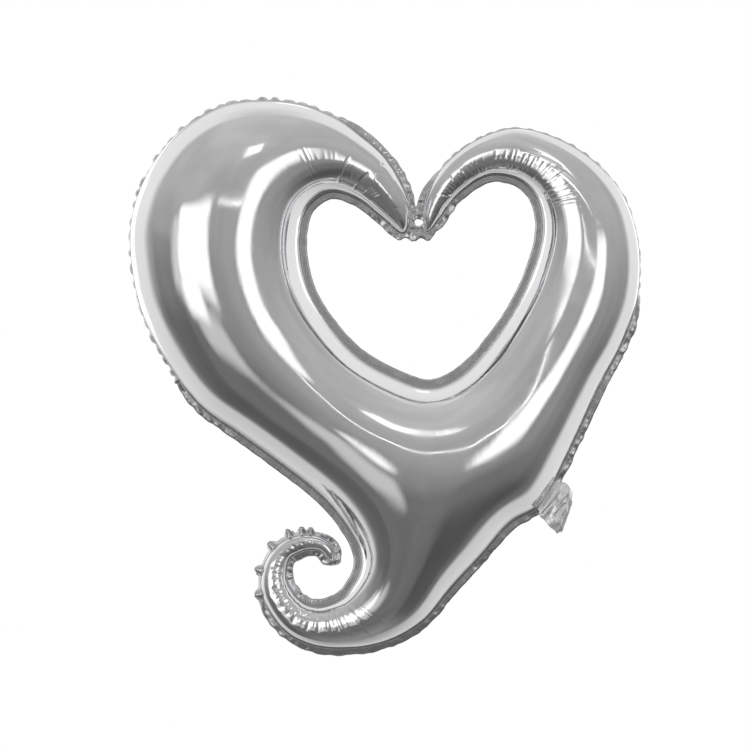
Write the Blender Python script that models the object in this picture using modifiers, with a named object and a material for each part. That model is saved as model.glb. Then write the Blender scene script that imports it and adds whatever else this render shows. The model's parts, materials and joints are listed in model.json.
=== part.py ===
"""Open heart foil balloon with a curled hook end, built from two heat-sealed film panels.

Metres, +Z up, +X to the right, front towards -Y. The pattern is drawn flat in the XZ plane
and inflated along Y. The world origin is the middle of the neck, on the tail's fold line.
"""
import math

import bmesh
import bpy
import numpy as np
from mathutils import Vector
from mathutils.geometry import delaunay_2d_cdt

MM = 0.001

# Overall size of the gas chamber, measured along its seam line
CHAMBER_WIDTH = 416 * MM
CHAMBER_HEIGHT = 449 * MM
FULLNESS = 0.92  # depth of the inflated chamber, as a share of a round tube's

# Film panels and the weld that joins them
SEAL_WIDTH = 6.0 * MM
PANEL_THICKNESS = 0.2 * MM
LAYER_CLEARANCE = 0.3 * MM  # between neighbouring layers of film

# Fill tail, its fold line and the self-sealing valve
TAIL_CHANNEL = 24.0 * MM  # width of the open channel through the neck
TAIL_LENGTH = 15.0 * MM  # foil, from the fold line
FOLD_CLEARANCE = 1.0 * MM  # from the fold line to the film on either side of it
VALVE_SIDE_CLEARANCE = 2.0 * MM  # from the valve's edge to the side of the channel
VALVE_TAPER = 3.0 * MM  # narrowing of each side by the valve's end in the chamber
VALVE_THICKNESS = 0.12 * MM
VALVE_INNER_LENGTH = 62.0 * MM
VALVE_LIP = 3.0 * MM  # straight film past the end of the foil tail
VALVE_CURL_RADIUS = 4.0 * MM
VALVE_CURL_ANGLE = math.radians(150)

# Mesh density
FINE_STEP = 3.6 * MM
COARSE_STEP = 11.0 * MM
TURN_PER_STEP = math.radians(22)
EDGE_ROWS = (1.8 * MM, 6.5 * MM)  # rows of points just inside the seam
SAMPLES_PER_SPAN = 24

PANEL_SPACE = 2 * VALVE_THICKNESS + 3 * LAYER_CLEARANCE  # between the panels at the seam
WELD_THICKNESS = PANEL_SPACE - 2 * LAYER_CLEARANCE
TAIL_WIDTH = TAIL_CHANNEL + 2 * SEAL_WIDTH
VALVE_WIDTH = TAIL_CHANNEL - 2 * VALVE_SIDE_CLEARANCE

# Seam line of the chamber, drawn in millimetres about the middle of the pattern.
# Outer side: from the left arm's tip over the left lobe and down to the hook.
LEFT_LOBE = [
    (16, 117), (22, 133), (16, 154), (1, 179), (-20, 198), (-40, 212), (-69, 223),
    (-102, 226), (-134, 221), (-167, 201), (-192, 169), (-206, 132), (-207, 95),
    (-198, 52), (-180, 15), (-151, -24), (-118, -48), (-85, -72), (-52, -98), (-32, -121),
]
# Round the eye of the hook, out to the hook's tip and back round the outside of the curl.
HOOK = [
    (-20, -143), (-19, -157), (-23, -167), (-31, -179), (-40, -185), (-54, -189),
    (-66, -186), (-75, -177), (-80, -167), (-80, -157), (-77, -149), (-69, -144),
    (-59, -142), (-51, -144), (-43, -152), (-41, -144), (-48, -135), (-59, -131),
    (-73, -132), (-87, -139), (-96, -151), (-100, -163), (-100, -177), (-93, -194),
    (-81, -209), (-68, -217), (-52, -222), (-32, -223), (-11, -221), (13, -213),
]
# Lower right side up to the neck.
LOWER_RIGHT = [(34, -199), (54, -175), (79, -148), (103, -121), (126, -107)]
# From the neck over the right lobe to the right arm's tip.
RIGHT_LOBE = [
    (139, -87), (157, -50), (177, -7), (194, 25), (207, 62), (209, 103), (199, 142),
    (177, 172), (144, 194), (107, 203), (75, 193), (50, 173), (36, 148), (33, 128),
    (35, 118),
]
# Inner side: round the heart-shaped hole, back to the left arm's tip.
HEART_HOLE = [
    (43, 126), (58, 146), (79, 162), (93, 165), (112, 160), (125, 146), (130, 124),
    (126, 99), (111, 62), (87, 26), (62, 1), (38, -9), (13, -2), (-20, 16), (-44, 41),
    (-62, 71), (-69, 103), (-65, 134), (-52, 148), (-39, 151), (-20, 144), (-3, 131),
]
# Bottom of the notch above the web of sealed film that joins the two arm tips.
NOTCH = (26, 139)
SEAM_KNOTS = LEFT_LOBE + HOOK + LOWER_RIGHT + RIGHT_LOBE + HEART_HOLE
NECK_KNOT = len(LEFT_LOBE + HOOK + LOWER_RIGHT) - 1  # the neck runs from here to the next
RIGHT_TIP_KNOT = len(LEFT_LOBE + HOOK + LOWER_RIGHT + RIGHT_LOBE) - 1

FOIL = ("foil", (0.80, 0.80, 0.81), 0.12, 1.0)
SEALED_FOIL = ("sealed_foil", (0.66, 0.66, 0.67), 0.28, 1.0)
VALVE_FILM = ("valve_film", (0.86, 0.87, 0.87), 0.25, 0.0)


# ---------------------------------------------------------------- outlines

def at_size(drawn):
    """Drawn points, in metres, at the stated chamber size."""
    knots = np.array(SEAM_KNOTS, dtype=float)
    drawn_size = knots.max(axis=0) - knots.min(axis=0)
    return np.array(drawn) * np.array([CHAMBER_WIDTH, CHAMBER_HEIGHT]) / drawn_size


def smooth_loop(knots):
    """Points and outward normals along a closed cubic curve through the knots."""
    following = np.roll(knots, -1, axis=0)
    chord = np.linalg.norm(following - knots, axis=1)
    span = chord + np.roll(chord, 1)
    slope = (following - np.roll(knots, 1, axis=0)) / span[:, None]
    points = []
    for i, start in enumerate(knots):
        end = following[i]
        leave = slope[i] * chord[i]
        arrive = slope[(i + 1) % len(knots)] * chord[i]
        for step in range(SAMPLES_PER_SPAN):
            t = step / SAMPLES_PER_SPAN
            points.append(
                (2 * t**3 - 3 * t**2 + 1) * start
                + (t**3 - 2 * t**2 + t) * leave
                + (3 * t**2 - 2 * t**3) * end
                + (t**3 - t**2) * arrive
            )
    points = np.array(points)
    along = np.roll(points, -1, axis=0) - np.roll(points, 1, axis=0)
    along /= np.linalg.norm(along, axis=1)[:, None]
    return points, np.column_stack([along[:, 1], -along[:, 0]])


def thin_out(points, keep_indices):
    """Indices spaced by how fast the curve turns, with the given ones kept."""
    steps = np.linalg.norm(np.roll(points, -1, axis=0) - points, axis=1)
    along = np.roll(points, -1, axis=0) - points
    heading = np.unwrap(np.arctan2(along[:, 1], along[:, 0]))
    turn = np.abs(np.diff(heading, append=heading[-1]))
    chosen = []
    length = 0.0
    turned = 0.0
    for i in range(len(points)):
        due = length >= COARSE_STEP or (turned >= TURN_PER_STEP and length >= FINE_STEP)
        if i in keep_indices or due:
            chosen.append(i)
            length = 0.0
            turned = 0.0
        length += steps[i]
        turned += turn[i]
    return chosen


def inside(loop, points):
    """Which points lie inside a closed loop, by counting crossings."""
    result = np.zeros(len(points), dtype=bool)
    for (x1, z1), (x2, z2) in zip(loop, np.roll(loop, -1, axis=0)):
        straddles = (points[:, 1] < z1) != (points[:, 1] < z2)
        if z1 != z2:
            crossing = x1 + (points[:, 1] - z1) * (x2 - x1) / (z2 - z1)
            result ^= straddles & (points[:, 0] < crossing)
    return result


def distance_to(loop, points):
    """Shortest distance from each point to a closed loop."""
    best = np.full(len(points), np.inf)
    for start, end in zip(loop, np.roll(loop, -1, axis=0)):
        edge = end - start
        share = np.clip((points - start) @ edge / (edge @ edge), 0, 1)
        gap = points - start - share[:, None] * edge
        best = np.minimum(best, np.linalg.norm(gap, axis=1))
    return best


class Pattern:
    """The flat pattern: seam line, outer edge and edge of the heart-shaped hole."""

    def __init__(self):
        points, normals = smooth_loop(at_size(SEAM_KNOTS))
        tips = (0, RIGHT_TIP_KNOT * SAMPLES_PER_SPAN)
        neck = (NECK_KNOT * SAMPLES_PER_SPAN, (NECK_KNOT + 1) * SAMPLES_PER_SPAN)
        chosen = thin_out(points, {*tips, *neck})
        chosen = [i for i in chosen if not neck[0] < i < neck[1]]
        edge = points + normals * SEAL_WIDTH
        notch = at_size(NOTCH)
        outer = [i for i in chosen if i <= tips[1]]
        outer = [i for i in outer if not self.in_web(edge[i], points[i], notch)]
        hole = [i for i in chosen if i >= tips[1]] + [tips[0]]
        self.seam = points[chosen]
        self.outer_edge = np.vstack([[notch], edge[outer]])
        self.hole_edge = edge[hole]
        self.place_fold(edge[neck[0]], edge[neck[1]])

    def place_fold(self, start, end):
        """Sets the fold line just clear of the border, along the whole width of the tail."""
        middle = (start + end) / 2
        across = (end - start) / np.linalg.norm(end - start)
        self.outward = np.array([across[1], -across[0]])
        offsets = self.outer_edge - middle
        beside = np.abs(offsets @ across) < TAIL_WIDTH / 2
        near = beside & (np.linalg.norm(offsets, axis=1) < TAIL_WIDTH)
        reach = max(0.0, (offsets[near] @ self.outward).max())
        self.fold = middle + self.outward * (reach + FOLD_CLEARANCE)

    @staticmethod
    def in_web(edge_point, seam_point, notch):
        """Whether a point of the outer edge falls in the web between the arm tips."""
        crossed = (edge_point[0] - notch[0]) * (seam_point[0] - notch[0]) <= 0
        near = abs(seam_point[0] - notch[0]) < 4 * SEAL_WIDTH and seam_point[1] > 0
        return near and (crossed or edge_point[1] < notch[1])


def interior_points(seam):
    """Points inside the seam: rows along the edge, then an even triangular lattice."""
    candidates = []
    along = np.roll(seam, -1, axis=0) - np.roll(seam, 1, axis=0)
    along /= np.linalg.norm(along, axis=1)[:, None]
    inward = np.column_stack([-along[:, 1], along[:, 0]])
    for inset in EDGE_ROWS:
        for point in seam + inward * inset:
            candidates.append((point, 0.95 * inset, 0.55 * inset + 0.4 * FINE_STEP))
    low = seam.min(axis=0)
    high = seam.max(axis=0)
    row_height = COARSE_STEP * math.sqrt(3) / 2
    for row in range(int((high[1] - low[1]) / row_height) + 1):
        for column in range(int((high[0] - low[0]) / COARSE_STEP) + 1):
            x = low[0] + (column + 0.5 * (row % 2)) * COARSE_STEP
            point = np.array([x, low[1] + row * row_height])
            candidates.append((point, EDGE_ROWS[-1] + 0.35 * COARSE_STEP, 0.5 * COARSE_STEP))
    places = np.array([candidate[0] for candidate in candidates])
    margin = distance_to(seam, places)
    within = inside(seam, places)
    chosen = []
    for i, (point, least_margin, least_gap) in enumerate(candidates):
        if not within[i] or margin[i] < least_margin:
            continue
        if chosen and np.linalg.norm(np.array(chosen) - point, axis=1).min() < least_gap:
            continue
        chosen.append(point)
    return np.array(chosen)


# ---------------------------------------------------------------- inflated panel

def panel_layout(pattern):
    """Flat panel split into triangles: points, triangles, and which are in the chamber."""
    loops = [pattern.seam, pattern.outer_edge, pattern.hole_edge]
    fixed = np.vstack(loops)
    points = np.vstack([fixed, interior_points(pattern.seam)])
    edges = []
    start = 0
    for loop in loops:
        edges += [(start + i, start + (i + 1) % len(loop)) for i in range(len(loop))]
        start += len(loop)
    vertices, _, faces, *_ = delaunay_2d_cdt([Vector(p) for p in points], edges, [], 0, 1e-7)
    points = np.array([tuple(v) for v in vertices])
    faces = np.array(faces)
    centres = points[faces].mean(axis=1)
    in_chamber = inside(pattern.seam, centres)
    in_panel = inside(pattern.outer_edge, centres) & ~inside(pattern.hole_edge, centres)
    kept = in_chamber | in_panel
    return points, faces[kept], in_chamber[kept]


def inflated_height(points, faces):
    """Half thickness at each point of a sealed film under gas pressure.

    Solves the membrane equation over the chamber's triangles. The root of its answer is a
    half circle across a long tube, and a flatter cushion over a wide lobe.
    """
    count = len(points)
    stiffness = np.zeros((count, count))
    load = np.zeros(count)
    uses = {}
    for face in faces:
        corners = points[face]
        doubled = abs(np.cross(corners[1] - corners[0], corners[2] - corners[0]))
        opposite = np.roll(corners, -1, axis=0) - np.roll(corners, -2, axis=0)
        stiffness[np.ix_(face, face)] += opposite @ opposite.T / (2 * doubled)
        load[face] += doubled / 6
        for a, b in zip(face, np.roll(face, -1)):
            pair = (min(a, b), max(a, b))
            uses[pair] = uses.get(pair, 0) + 1
    rim = {end for pair, times in uses.items() if times == 1 for end in pair}
    free = sorted(set(faces.ravel()) - rim)
    pressure = np.zeros(count)
    pressure[free] = np.linalg.solve(stiffness[np.ix_(free, free)], load[free])
    return FULLNESS * np.sqrt(2 * np.maximum(pressure, 0))


def make_panel(name, side, layout, collection):
    """One film panel: the inflated dome with its flat sealing border. side is -1 in front."""
    points, faces, in_chamber = layout
    height = inflated_height(points, faces[in_chamber]) + PANEL_SPACE / 2
    mesh = bpy.data.meshes.new(name)
    places = [(x, side * h, z) for (x, z), h in zip(points, height)]
    mesh.from_pydata(places, [], [tuple(map(int, face)) for face in faces])
    panel = new_object(name, mesh, collection, FOIL)
    face_outwards(mesh, Vector((0, side, 0)))
    skin = panel.modifiers.new("film", "SOLIDIFY")
    skin.thickness = PANEL_THICKNESS
    skin.offset = 1
    mesh.shade_smooth()
    return panel


# ---------------------------------------------------------------- heat seal

def make_heat_seal(pattern, collection):
    """Fused layer between the panels: every border, with the neck's channel left open."""
    curve = bpy.data.curves.new("heat_seal_outline", "CURVE")
    curve.dimensions = "2D"
    curve.fill_mode = "BOTH"
    curve.extrude = WELD_THICKNESS / 2
    for loop in (pattern.outer_edge, pattern.seam, pattern.hole_edge):
        spline = curve.splines.new("POLY")
        spline.points.add(len(loop) - 1)
        for point, (x, z) in zip(spline.points, loop):
            point.co = (x, z, 0, 1)
        spline.use_cyclic_u = True
    outline = bpy.data.objects.new("heat_seal_outline", curve)
    collection.objects.link(outline)
    bpy.context.view_layer.update()
    evaluated = outline.evaluated_get(bpy.context.evaluated_depsgraph_get())
    mesh = bpy.data.meshes.new_from_object(evaluated)
    bpy.data.objects.remove(outline)
    bpy.data.curves.remove(curve)
    body = bmesh.new()
    body.from_mesh(mesh)
    bmesh.ops.remove_doubles(body, verts=body.verts, dist=0.01 * MM)
    bmesh.ops.recalc_face_normals(body, faces=body.faces)
    body.to_mesh(mesh)
    body.free()
    seal = new_object("heat_seal_band", mesh, collection, SEALED_FOIL)
    seal.rotation_euler = (math.radians(90), 0, 0)
    return seal


def cut_neck_channel(seal, neck, cutters):
    """Opens the seal where gas and the valve pass through the neck."""
    reach = 2 * SEAL_WIDTH + FOLD_CLEARANCE
    cutter = new_box("neck_channel_cutter", (2 * reach, 2 * WELD_THICKNESS, TAIL_CHANNEL), cutters)
    cutter.parent = neck
    cutter.hide_render = True
    cutter.display_type = "WIRE"
    cut = seal.modifiers.new("neck_channel", "BOOLEAN")
    cut.operation = "DIFFERENCE"
    cut.solver = "EXACT"
    cut.object = cutter


# ---------------------------------------------------------------- valve and tail

def make_strip(name, profile, width, end_width, thickness, collection, look):
    """A strip of film along a profile of (outward, depth) points, tapering between widths."""
    mesh = bpy.data.meshes.new(name)
    strip = bmesh.new()
    rows = []
    for i, (outward, depth) in enumerate(profile):
        half = (width + (end_width - width) * i / (len(profile) - 1)) / 2
        rows.append([strip.verts.new((outward, depth, z)) for z in (-half, half)])
    for (a, b), (c, d) in zip(rows, rows[1:]):
        strip.faces.new((a, c, d, b))
    strip.to_mesh(mesh)
    strip.free()
    piece = new_object(name, mesh, collection, look)
    skin = piece.modifiers.new("film", "SOLIDIFY")
    skin.thickness = thickness
    skin.offset = 0
    return piece


def curled_profile(depth):
    """Valve film leaving the tail: straight over its lip, then curling to the rear."""
    straight = TAIL_LENGTH + VALVE_LIP
    radius = VALVE_CURL_RADIUS - depth
    profile = [(FOLD_CLEARANCE, depth), (straight, depth)]
    turns = 10
    for step in range(1, turns + 1):
        angle = VALVE_CURL_ANGLE * step / turns
        along = straight + radius * math.sin(angle)
        profile.append((along, VALVE_CURL_RADIUS - radius * math.cos(angle)))
    return profile


def make_valve(neck, collection):
    """Two loose films that gas pressure presses shut, parted where the tail folds."""
    depth = LAYER_CLEARANCE / 2 + VALVE_THICKNESS / 2
    inner_end = -FOLD_CLEARANCE - VALVE_INNER_LENGTH
    for side, place in ((-1, "front"), (1, "rear")):
        inner = [(-FOLD_CLEARANCE, side * depth), (inner_end, side * depth)]
        outer = curled_profile(side * depth)
        sizes = (VALVE_WIDTH, VALVE_WIDTH - 2 * VALVE_TAPER, VALVE_THICKNESS)
        make_strip(f"valve_{place}_film", inner, *sizes, collection, VALVE_FILM).parent = neck
        sizes = (VALVE_WIDTH, VALVE_WIDTH, VALVE_THICKNESS)
        make_strip(f"tail_valve_{place}_film", outer, *sizes, collection, VALVE_FILM).parent = neck


def make_tail(neck, collection):
    """Foil fill tail: two plies welded along both of their long edges."""
    depth = PANEL_SPACE / 2 + PANEL_THICKNESS / 2
    for side, place in ((-1, "front"), (1, "rear")):
        profile = [(FOLD_CLEARANCE, side * depth), (TAIL_LENGTH, side * depth)]
        sizes = (TAIL_WIDTH, TAIL_WIDTH, PANEL_THICKNESS)
        make_strip(f"tail_{place}_ply", profile, *sizes, collection, FOIL).parent = neck
    length = TAIL_LENGTH - FOLD_CLEARANCE
    for side, place in ((-1, "lower"), (1, "upper")):
        size = (length, WELD_THICKNESS, SEAL_WIDTH)
        weld = new_box(f"tail_{place}_side_seal", size, collection, SEALED_FOIL)
        weld.location = (FOLD_CLEARANCE + length / 2, 0, side * (TAIL_WIDTH - SEAL_WIDTH) / 2)
        weld.parent = neck


# ---------------------------------------------------------------- scene helpers

def material(look):
    name, colour, roughness, metallic = look
    found = bpy.data.materials.get(name)
    if found:
        return found
    made = bpy.data.materials.new(name)
    made.use_nodes = True
    shader = made.node_tree.nodes["Principled BSDF"]
    shader.inputs["Base Color"].default_value = (*colour, 1)
    shader.inputs["Roughness"].default_value = roughness
    shader.inputs["Metallic"].default_value = metallic
    return made


def new_object(name, mesh, collection, look=None):
    made = bpy.data.objects.new(name, mesh)
    collection.objects.link(made)
    if look:
        mesh.materials.append(material(look))
    return made


def new_box(name, size, collection, look=None):
    mesh = bpy.data.meshes.new(name)
    box = bmesh.new()
    bmesh.ops.create_cube(box, size=1)
    bmesh.ops.scale(box, vec=size, verts=box.verts)
    box.to_mesh(mesh)
    box.free()
    return new_object(name, mesh, collection, look)


def face_outwards(mesh, direction):
    """Turns every face of an open surface to the side that direction points to."""
    surface = bmesh.new()
    surface.from_mesh(mesh)
    surface.normal_update()
    turned = [face for face in surface.faces if face.normal.dot(direction) < 0]
    bmesh.ops.reverse_faces(surface, faces=turned)
    surface.to_mesh(mesh)
    surface.free()


def new_collection(name):
    made = bpy.data.collections.new(name)
    bpy.context.scene.collection.children.link(made)
    return made


def new_empty(name, collection, parent=None):
    made = bpy.data.objects.new(name, None)
    collection.objects.link(made)
    made.parent = parent
    return made


def clear_scene():
    for item in list(bpy.data.objects):
        bpy.data.objects.remove(item)


def main():
    clear_scene()
    collection = new_collection("heart_foil_balloon")
    cutters = new_collection("cutters")
    pattern = Pattern()
    layout = panel_layout(pattern)
    # The neck's empty sits on the fold line: X outwards along the tail, Z across it
    neck = new_empty("neck_fold_line", collection)
    neck.rotation_euler = (0, math.atan2(-pattern.outward[1], pattern.outward[0]), 0)
    frame = new_empty("balloon_frame", collection)
    frame.location = (-pattern.fold[0], 0, -pattern.fold[1])
    for name, side in (("front_panel", -1), ("rear_panel", 1)):
        make_panel(name, side, layout, collection).parent = frame
    seal = make_heat_seal(pattern, collection)
    seal.parent = frame
    cut_neck_channel(seal, neck, cutters)
    make_valve(neck, collection)
    make_tail(neck, collection)


main()
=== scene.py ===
import json
import math

import bpy
import numpy as np
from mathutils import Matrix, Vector, kdtree, noise
from mathutils.geometry import delaunay_2d_cdt


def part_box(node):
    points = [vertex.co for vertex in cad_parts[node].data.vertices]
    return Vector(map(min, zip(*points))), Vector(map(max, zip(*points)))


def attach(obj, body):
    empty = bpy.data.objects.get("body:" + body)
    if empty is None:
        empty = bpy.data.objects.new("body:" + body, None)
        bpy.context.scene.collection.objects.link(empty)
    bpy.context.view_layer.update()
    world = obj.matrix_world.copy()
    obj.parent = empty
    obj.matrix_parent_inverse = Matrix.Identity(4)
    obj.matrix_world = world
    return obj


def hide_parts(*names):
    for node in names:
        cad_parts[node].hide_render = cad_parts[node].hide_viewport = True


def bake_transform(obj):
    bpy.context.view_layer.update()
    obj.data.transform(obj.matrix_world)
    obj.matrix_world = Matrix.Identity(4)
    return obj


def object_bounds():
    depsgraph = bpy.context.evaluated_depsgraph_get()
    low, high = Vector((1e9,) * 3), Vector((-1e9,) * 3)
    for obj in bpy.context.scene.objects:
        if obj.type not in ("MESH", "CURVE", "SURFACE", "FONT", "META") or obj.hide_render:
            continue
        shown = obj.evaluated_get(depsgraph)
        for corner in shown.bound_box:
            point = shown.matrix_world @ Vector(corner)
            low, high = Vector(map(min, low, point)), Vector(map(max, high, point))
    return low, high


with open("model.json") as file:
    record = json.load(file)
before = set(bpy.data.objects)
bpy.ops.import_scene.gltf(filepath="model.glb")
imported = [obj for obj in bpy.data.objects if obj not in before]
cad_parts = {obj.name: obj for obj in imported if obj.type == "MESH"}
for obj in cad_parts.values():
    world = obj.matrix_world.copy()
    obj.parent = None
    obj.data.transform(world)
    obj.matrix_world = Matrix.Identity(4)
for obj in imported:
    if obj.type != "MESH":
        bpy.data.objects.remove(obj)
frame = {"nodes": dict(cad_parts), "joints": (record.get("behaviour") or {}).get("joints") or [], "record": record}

CAD_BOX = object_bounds()
MM = 0.001

# Film and mesh
SEAL_HALF_DEPTH = 0.4 * MM  # from the middle plane to the film where it is sealed
LEVEL_TOLERANCE = 0.02 * MM  # within which the CAD's sealed film counts as flat
SAMPLES_PER_SPAN = 16  # of a smooth line, between two points of the CAD
SEAM_STEP = 1.1 * MM
COARSE_GRAIN = 2.8 * MM  # spacing of the dome's points; a quarter of it where it gathers
ROW_INSETS = (0.35 * MM, 0.9 * MM, 1.7 * MM, 2.8 * MM, 4.2 * MM)  # of points inside the seam
BORDER_ROWS = (1.1 * MM, 2.3 * MM, 3.5 * MM, 4.7 * MM)  # and outside it
WEB_GRAIN = 1.3  # mm, spacing of the points in the web
RIM_CLEARANCE = 0.7 * MM  # from those points to the rims
SOLVER_STEPS = 4000
SOLVER_TOLERANCE = 1e-7

# Sealed border. Facings, and places round the hook's eye, are degrees counter-clockwise from +X
OUTWARD_BEND = 2.0  # per metre; an outer side of the seam bends outwards by more than this
LEFT_LOBE_FACING = (56, 224)
RIGHT_LOBE_FACING = (-12, 152)
CURL_END = 205  # of the border that is drawn back round the hook
EYE_END = 255  # of the seam that faces the hook's eye
TIP_END = 100  # of the hook's crinkled tip
LEVEL_BY_WEB = (14 * MM, 32 * MM)  # from the web, where the border's tilt starts and is full
PLEATED_BY_WEB = 26 * MM  # from the web, up to where the border is strongly pleated
HOLE_SIDE_FROM_WEB = 40 * MM
BUCKLE_DEPTH = 0.7 * MM
MOTTLE_DEPTH = 0.45 * MM
LOBE_TILT = 87.0  # degrees that the border is turned back, on the lobes
CURL_TILT = 66.0  # and round the top of the hook
HOLE_TILT = 3.0  # and round the hole
FLAT_TILT = 13.0  # and elsewhere
LOBE_BORDER_SHARE = 0.6  # of the border's width is left on the lobes, where it is gathered
# Place round the eye and height, as a share, of each point that the film is pulled out into
HOOK_POINTS = ((104, 0.75), (114, 1.0), (128, 1.1), (148, 0.8), (174, 0.9), (196, 0.9))
HOOK_POINT_WIDTH = 5.5  # degrees about the hook's eye

# Web between the arm tips, its small gap, and the lumps of the hole's rim below it
WEB_ABOVE_MOUNT = 9 * MM  # from the mount on the web, up to the web's middle
GAP_MIDDLE = (1.3 * MM, -2.1 * MM)  # from the web's middle
GAP_HALF_SIZE = (3.6 * MM, 2.8 * MM)
GAP_SAMPLES = 28
GAP_WAVE = 0.10  # share by which the gap is three-cornered and not round
LUMP_DEPTH = 1.6 * MM
LUMP_PITCH = 12.6 * MM
LUMP_SHIFT = 2.9 * MM

# Creases in the inflated film. A share runs across a tube from 0 at its inner seam to 1
FILM_UNEVENNESS = 0.10 * MM
# Bend, number of creases, least and greatest width and depth in mm, first and last share
SHORT_CREASES = (
    ("right", 66, (0.7, 1.2), (0.12, 0.34), (0.06, 0.54)),
    ("left", 34, (0.7, 1.3), (0.02, 0.16), (0.15, 0.55)),
    ("hook", 60, (0.7, 1.2), (0.08, 0.28), (0.06, 0.60)),
    ("hook", 22, (1.4, 2.4), (0.10, 0.50), (0.05, 0.72)),
)
# Across the left bend: angle and share at either end, width and depth in mm
LONG_CREASES = (
    ((92, 81), (0.06, 0.56), 0.9, 0.36),
    ((68, 60), (0.08, 0.54), 0.9, 0.38),
    ((51, 48), (0.14, 0.40), 0.8, 0.42),
    ((47.5, 44.5), (0.14, 0.40), 0.8, 0.42),
    ((44, 41), (0.14, 0.40), 0.8, 0.42),
    ((40.5, 37.5), (0.14, 0.40), 0.8, 0.42),
)
# Soft lines along a bend: which bend, share and angle at either end, width and height in mm
RIDGES = (
    ("right", (0.57, 0.48), (-6, 46), 1.0, 0.44),
    ("right", (0.56, 0.50), (34, 72), 1.3, 0.46),
    ("right", (0.45, 0.45), (118, 176), 4.0, 0.45),
    ("left", (0.47, 0.47), (-4, 62), 4.0, 0.50),
)
# Start and end from the middle of the hook's eye in metres, width and depth (less than 0: a ridge)
BODY_CREASES = (
    ((0.098, 0.032), (0.086, -0.004), 1.6 * MM, 0.30 * MM),
    ((0.079, 0.083), (0.085, 0.040), 4.5 * MM, -0.35 * MM),
    ((0.118, 0.040), (0.104, 0.018), 1.4 * MM, 0.16 * MM),
)

# Fill tail
TAIL_FILM = 0.08 * MM
TAIL_WELD = 0.6 * MM  # its thickness
TAIL_WELD_SHARE = 2 * 5.0 / 36.0  # of the tail's half width, on either side
# Place out from the fold line, first and last place along it, and depth of each crease
TAIL_CREASES = (
    (1.8 * MM, -13 * MM, 1 * MM, 0.9 * MM),
    (5.8 * MM, -2 * MM, 11 * MM, -0.7 * MM),
    (10.5 * MM, -10 * MM, 1 * MM, 1.5 * MM),
)
VALVE_FILM = 0.06 * MM
VALVE_HALF_WIDTH = 10.5 * MM
# Side, name, radius and turn in radians of each valve film's curled end
VALVE_CURLS = ((-1, "front", 3.6 * MM, 2.7), (1, "rear", 2.9 * MM, 2.2))

# Camera, at the photograph's viewing angle
CAMERA_DISTANCE = 2.5
VIEW_WIDTH = 0.615
VIEW_CENTRE = (0.4807, 0.4985)  # shares of the CAD box's width and height

# Backdrop
BACKDROP_RADIUS = 8
FLOOR_RADIUS = 1.4
FLOOR_DROP = 0.35  # below the balloon


# ---------------------------------------------------------------- outline of the CAD film

def welded_mesh(node):
    """Points and triangles of a CAD node, with its split corners joined."""
    mesh = frame["nodes"][node].data
    places = np.empty(len(mesh.vertices) * 3, np.float32)
    mesh.vertices.foreach_get("co", places)
    places, joined = np.unique(places.reshape(-1, 3), axis=0, return_inverse=True)
    corners = np.empty(len(mesh.loops), np.int32)
    mesh.loops.foreach_get("vertex_index", corners)
    return places.astype(float), joined.ravel()[corners].reshape(-1, 3)


def boundary_edges(faces):
    """Directed edges that only one of the triangles uses."""
    directed = np.vstack([faces[:, [0, 1]], faces[:, [1, 2]], faces[:, [2, 0]]])
    _, where, uses = np.unique(
        np.sort(directed, axis=1), axis=0, return_index=True, return_counts=True
    )
    return directed[where[uses == 1]]


def chained(edges):
    """Closed loops of point indices made by directed edges."""
    following = {int(a): int(b) for a, b in edges}
    loops = []
    while following:
        start, nearby = following.popitem()
        loop = [start]
        while nearby != start:
            loop.append(nearby)
            nearby = following.pop(nearby)
        loops.append(loop)
    return loops


def signed_area(loop):
    """Area inside a loop, above 0 if it runs counter-clockwise."""
    following = np.roll(loop, -1, axis=0)
    return (loop[:, 0] * following[:, 1] - following[:, 0] * loop[:, 1]).sum() / 2


def cad_loops():
    """Seam, outer rim and rim of the hole, as (x, z) points with the chamber on the left."""
    points, faces = welded_mesh("front_panel")
    depth = -points[:, 1]
    flat = np.abs(depth - depth.min()) < LEVEL_TOLERANCE
    border = faces[flat[faces].all(axis=1)]
    loops = [points[loop][:, [0, 2]] for loop in chained(boundary_edges(border))]
    loops.sort(key=lambda loop: -abs(signed_area(loop)))
    outer, seam, hole = loops
    facing = [1, 1, -1]
    return [
        loop if signed_area(loop) * sign > 0 else loop[::-1]
        for loop, sign in zip((seam, outer, hole), facing)
    ]


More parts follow.
